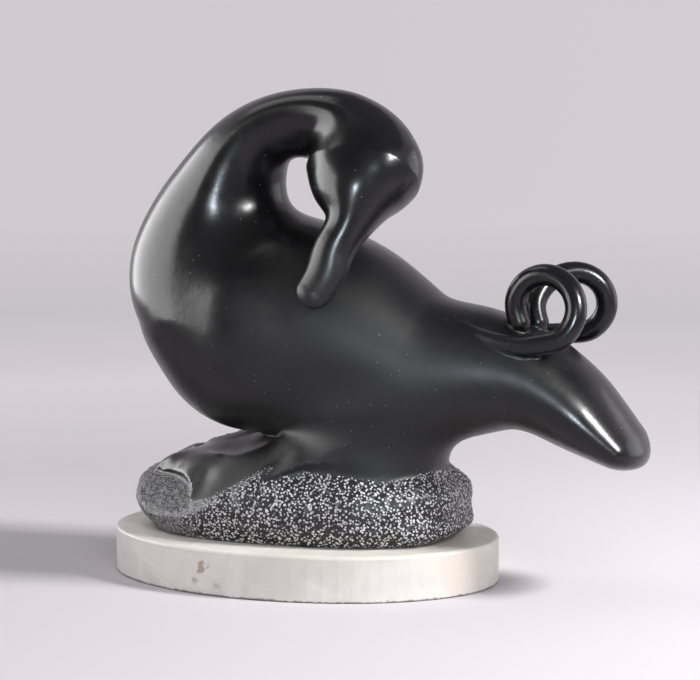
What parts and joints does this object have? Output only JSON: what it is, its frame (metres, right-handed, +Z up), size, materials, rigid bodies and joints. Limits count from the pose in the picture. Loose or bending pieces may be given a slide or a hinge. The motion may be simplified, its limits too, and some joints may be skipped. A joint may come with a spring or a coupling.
{
  "type": "duck sculpture",
  "caption": "Preening duck carved with its rock from one block of black limestone, set on an oval marble plinth. Stands on a table or shelf.",
  "frame": {"origin": "centre of the plinth's underside", "axes": "+X towards the duck's tail, +Y away from the side its head turns to, +Z up"},
  "size_m": [0.3597, 0.1774, 0.3203],
  "materials": {
    "black_limestone": "polished on the duck, pecked on the rock",
    "white_marble": "honed, lightly stained"
  },
  "bodies": {
    "root": {"duck_on_rock": "black_limestone", "plinth": "white_marble"}
  },
  "joints": []
}
